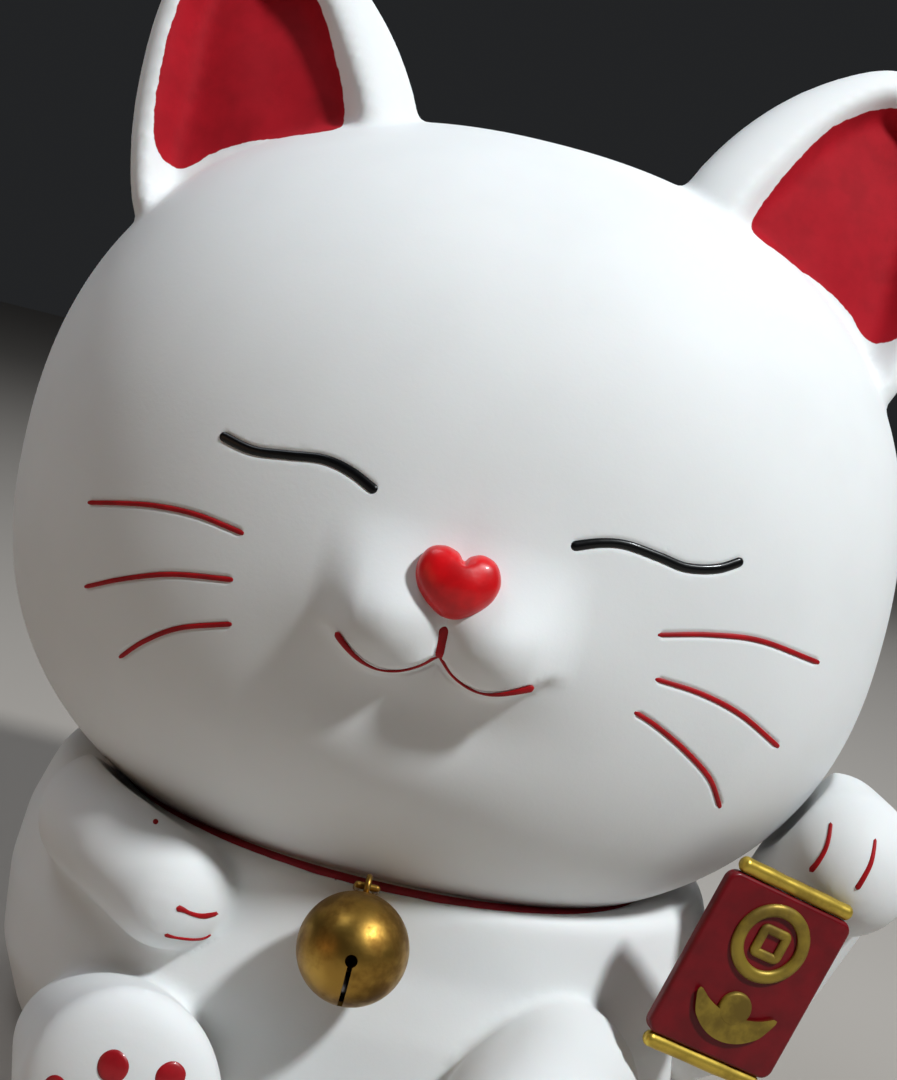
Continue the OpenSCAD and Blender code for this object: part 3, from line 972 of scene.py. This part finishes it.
def on_scroll(obj, node_name):
    """Takes a mesh modelled in the scroll's own frame to its place in the paw."""
    turn = np.array(SCROLL_TURN.to_3x3())
    set_points(obj, get_points(obj) @ turn.T + np.array(SCROLL_PLACE))
    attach(obj, "raised_arm")
    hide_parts(node_name)


def flat_outline(name, outline, thickness, rounding, material):
    """Plate in the XZ plane with rounded edges; the front faces -Y."""
    outline = np.asarray(outline)
    n = len(outline)
    tangent = np.roll(outline, -1, axis=0) - np.roll(outline, 1, axis=0)
    inward = unit(np.stack([-tangent[:, 1], tangent[:, 0]], -1))
    rings = []
    for a in np.linspace(0, math.pi / 2, 7):
        ring = outline + inward * rounding * (1 - math.sin(a))
        rings.append((ring, -thickness / 2 + rounding * (1 - math.cos(a))))
    rings += [(ring, -y) for ring, y in reversed(rings)]
    points = np.concatenate([np.stack([r[:, 0], np.full(n, y), r[:, 1]], -1) for r, y in rings])
    faces = ring_quads(len(rings), n, flip=True) + end_caps(len(rings), n)
    obj = new_object(name, points, faces, material)
    merge_doubles(obj, 0.0005)
    return obj


def bead_loop(name, outline, radius):
    """Raised gold bead along a closed outline on the panel's face."""
    line = np.asarray(outline)
    n, sides = len(line), 14
    tangent = unit(np.roll(line, -1, axis=0) - np.roll(line, 1, axis=0))
    normal = np.stack([-tangent[:, 1], tangent[:, 0]], -1)
    points = []
    for a in around_circle(sides):
        ring = line + normal * radius * math.cos(a)
        depth = MOTIF_FACE - 0.6 * radius * math.sin(a) + 0.1
        points.append(np.stack([ring[:, 0], np.full(n, depth), ring[:, 1]], -1))
    points = np.stack(points, 1).reshape(-1, 3)
    return new_object(name, points, ring_quads(n, sides, closed=True, flip=True), motif_gold)


def circle(radius, z, count):
    return [(radius * math.cos(a), z + radius * math.sin(a)) for a in around_circle(count)]


def rounded_rectangle(half_w, half_h, corner, z=0.0, steps=10):
    points = []
    for cx, cz, start in ((1, 1, 0), (-1, 1, 90), (-1, -1, 180), (1, -1, 270)):
        for a in np.radians(np.linspace(start, start + 90, steps)):
            x = cx * (half_w - corner) + corner * math.cos(a)
            points.append((x, cz * (half_h - corner) + corner * math.sin(a) + z))
    return points


def make_rods():
    """Gilt rods with blunt ends, a little uneven along their length."""
    rng = np.random.default_rng(4)
    for name, side in (("scroll_top_rod", 1), ("scroll_bottom_rod", -1)):
        steps = np.linspace(0, 1, 60)
        wobble = np.interp(steps, np.linspace(0, 1, 9), rng.uniform(-0.14, 0.0, 9))
        from_end = np.clip(np.minimum(steps, 1 - steps) * 26 / 0.9, 0, 1)
        blunt = np.sqrt(np.clip(1 - (1 - from_end) ** 2, 0.3, 1))
        profile = [(0, 0.0)] + [((ROD_R + w) * b, t * ROD_L) for t, w, b in zip(steps, wobble, blunt)]
        rod = lathe(name + "_gilt", profile + [(0, ROD_L)], gold_paint, 40)
        co = get_points(rod)
        height = side * (SCROLL_L / 2 + ROD_R)
        set_points(rod, np.stack([co[:, 2] - ROD_L / 2, co[:, 1], -co[:, 0] + height], -1))
        finish_surface(rod, gold_paint, 70)
        on_scroll(rod, name)


def make_motif():
    """Coin with a square hole above a small ingot."""
    pieces = [
        bead_loop("coin_rim", circle(5.9, COIN_Z, 96), 1.15),
        bead_loop("coin_hole", rounded_rectangle(2.2, 2.2, 0.5, COIN_Z, 6), 0.85),
    ]
    across = np.linspace(-1, 1, 25)
    boat = [(7.6 * t, -5.2 - 6.2 * (1 - t * t) ** 0.6) for t in across]
    boat += [(7.6 * t, -4.8 - 2.6 * (1 - t * t) ** 0.8) for t in across[::-1]]
    boat = closed_spline(boat[::2], 90)
    ingot = flat_outline("ingot", boat[::-1], 1.2, 0.4, motif_gold)
    pearl = flat_outline("pearl", circle(3.0, PEARL_Z, 40), 1.3, 0.5, motif_gold)
    for plate in (ingot, pearl):
        set_points(plate, get_points(plate) + [0, MOTIF_FACE + 0.2, 0])
        pieces.append(plate)
    motif = join(pieces, "scroll_motif_gilt")
    finish_surface(motif, motif_gold, 60)
    on_scroll(motif, "scroll_motif")


def make_scroll():
    outline = rounded_rectangle(SCROLL_W / 2, SCROLL_L / 2, 2.0)
    panel = flat_outline("scroll_panel_lacquered", outline, PANEL_T, 0.7, scroll_lacquer)
    finish_surface(panel, scroll_lacquer, 70)
    on_scroll(panel, "scroll_panel")
    make_rods()
    make_motif()


# ------------------------ painted details on the limbs

def paint_on(target, name, line, toward, widths, crown, material, body):
    """Bead of paint laid on a casting: the line is thrown onto it along a direction."""
    inverse = target.matrix_world.inverted()
    spots, normals = [], []
    for point in open_spline(line, 0.25):
        start = inverse @ (Vector(point) * MM)
        hit, place, normal, _ = target.ray_cast(start, Vector(toward).normalized())
        if hit:
            spots.append(np.array(place) / MM)
            normals.append(np.array(normal))
    spots, normals = np.array(spots), unit(np.array(normals))
    for _ in range(4):
        normals[1:-1] = unit(normals[:-2] + normals[1:-1] + normals[2:])
        spots[1:-1] = (spots[:-2] + 2 * spots[1:-1] + spots[2:]) / 4

    def lift_of(rise):
        return crown * max(rise, 0) + 0.4 * min(rise, 0)

    bead(name, spots, normals, bead_halves(spots, widths, 0.03), 10, lift_of, material, body)


def paint_spot(target, name, centre, toward, radius, crown, material, squash=1.0):
    """Round domed spot of paint that follows a casting of the torso."""
    rings, sides = 8, 40
    inverse = target.matrix_world.inverted()
    toward = Vector(toward).normalized()
    side = toward.cross(Vector((0, 0, 1))).normalized()
    up = side.cross(toward)
    _, middle, middle_normal, _ = target.ray_cast(inverse @ (Vector(centre) * MM), toward)
    points = [np.array(middle + middle_normal * crown * MM) / MM]
    for r in range(1, rings + 1):
        share = r / rings
        lift = crown * math.sqrt(1 - share**2) if r < rings else -0.15
        for a in around_circle(sides):
            reach = radius * share * (1 + 0.015 * math.sin(3 * a + radius) + 0.01 * math.sin(5 * a))
            start = Vector(centre) + side * reach * math.cos(a) + up * reach * squash * math.sin(a)
            _, place, normal, _ = target.ray_cast(inverse @ (start * MM), toward)
            points.append(np.array(place) / MM + np.array(normal) * lift)
    faces = [(0, 1 + k, 1 + (k + 1) % sides) for k in range(sides)]
    faces += ring_quads(rings, sides, flip=True, first=1)
    new_object(name, points, faces, material, "torso")


# ------------------------ assembly

vinyl = white_vinyl("white_vinyl")
head_vinyl = white_vinyl("head_vinyl", "ear_paint")
arm_vinyl = white_vinyl("arm_vinyl")
black_enamel = paint("black_enamel", (0.0015, 0.0015, 0.002), 0.34, 0.15, 0.25)
red_enamel = paint("red_enamel", (0.40, 0.001, 0.005), 0.55, 0.0, 0.25)
collar_paint = paint("collar_paint", (0.38, 0.003, 0.018), 0.5)
nose_enamel = paint("nose_enamel", (0.74, 0.001, 0.005), 0.4, 0.15)
bean_enamel = paint("bean_enamel", (0.36, 0.004, 0.010), 0.4, 0.2)
scroll_lacquer = paint("scroll_lacquer", (0.17, 0.0005, 0.005), 0.42, 0.15, 0.25)
# The bell's brass is darker than plain brass: painted shade for the shadow of the head that it hangs in.
brass = worn_gold("bell_brass", (0.42, 0.245, 0.05), (0.18, 0.092, 0.018), 0.36, 1.0)
gold_paint = worn_gold("gold_paint", (0.60, 0.42, 0.06), (0.34, 0.23, 0.03), 0.36, 0.7)
motif_gold = worn_gold("motif_gold", (0.33, 0.23, 0.03), (0.17, 0.11, 0.015), 0.45, 0.55)
stopper, _ = principled("stopper_plastic", (0.75, 0.75, 0.72), 0.45)
foam, _ = principled("pad_foam", (0.05, 0.05, 0.05), 0.9)
steel, _ = principled("pellet_steel", (0.4, 0.4, 0.42), 0.35, Metallic=1.0)

make_camera()
make_stage()

make_head(head_vinyl)
make_nose()
for name, lines, widths, sink, crown, enamel in (
    ("eye_line", EYE_LINES, [1.6, 1.4, 1.45, 1.5, 1.6], 0.16, 0.42, black_enamel),
    ("whisker_line", WHISKER_LINES, [0.72, 0.84, 0.84], 0.14, 0.24, red_enamel),
    ("mouth_line", MOUTH_LINES, [1.3, 0.9, 0.6, 0.9, 1.4], 0.3, 0.28, red_enamel),
):
    for i, line in enumerate(lines, 1):
        painted_line(f"{name}_{i}", line, widths, sink, crown, enamel)
painted_line("philtrum_line", PHILTRUM_LINE, [1.8, 1.6, 1.5], 0.25, 0.3, red_enamel)

castings = make_lower_castings()
left_arm = make_raised_arm()
make_collar()
make_bell()
make_scroll()

bpy.context.view_layer.update()
right_arm = castings["right_arm"]
front = (0, 1, 0)
down_arm = (-0.06, 0.924, -0.379)
CLAWS = [
    (right_arm, "claw_line_1",
     [(-29.3, 52.8), (-28.0, 52.7), (-26.8, 52.4), (-24.6, 52.5), (-22.6, 53.5)],
     down_arm, [1.3, 0.7, 0.8, 1.1, 0.8], "torso"),
    (right_arm, "claw_line_2",
     [(-30.2, 47.9), (-28.8, 47.8), (-25.9, 48.1), (-23.9, 48.7), (-22.9, 49.7)],
     down_arm, [1.0, 0.6, 0.7, 0.8, 0.6], "torso"),
    (left_arm, "raised_claw_line_1", [(73.4, 78.6), (73.1, 75.2), (72.4, 72.4), (71.6, 70.0)],
     front, [0.7, 0.8, 0.9, 1.1], "raised_arm"),
    (left_arm, "raised_claw_line_2", [(80.6, 78.4), (80.4, 75.0), (79.7, 72.2), (79.0, 69.8)],
     front, [0.6, 0.8, 0.9, 1.0], "raised_arm"),
]
for limb, name, line, toward, widths, body in CLAWS:
    paint_on(limb, name, [(x, -80, z) for x, z in line], toward, widths, 0.22, red_enamel, body)
paint_spot(right_arm, "paint_speck", (-34.5, -80, 64.7), (-0.11, 0.937, -0.33), 0.5, 0.1, red_enamel)
BEANS = [(-39.8, 21.4, 2.2), (-32.3, 27.2, 2.5), (-23.8, 27.2, 2.3)]  # x, height, radius; right sole
for side, word in ((-1, "right"), (1, "left")):
    foot = castings[word + "_foot"]
    for k, (x, z, radius) in enumerate(BEANS, 1):
        spot = (-side * x, -95, z)
        paint_spot(foot, f"{word}_toe_bean_{k}", spot, front, radius, 0.35, bean_enamel)
    paint_spot(foot, f"{word}_sole_pad", (side * 31, -95, 15.0), front, 6.4, 0.45, bean_enamel, 0.8)

looks = {
    "white_vinyl": vinyl, "nose_red": nose_enamel, "collar_red": collar_paint, "bell_brass": brass,
    "scroll_red": scroll_lacquer, "scroll_gold": gold_paint, "stopper_plastic": stopper, "pad_foam": foam,
    "pellet_steel": steel,
}
slot_of = {part["node"]: part["material_slot"] for part in frame["record"]["subparts"]}
for name, obj in frame["nodes"].items():
    obj.data.materials.clear()
    obj.data.materials.append(looks[slot_of[name]])
for name in ("bell_loop", "collar_staple", "bell_pellet"):
    finish_surface(frame["nodes"][name], looks[slot_of[name]], 50)

slot_of_look = {material: slot for slot, material in looks.items()}
slot_of_look |= {head_vinyl: "white_vinyl", arm_vinyl: "white_vinyl", motif_gold: "scroll_gold"}
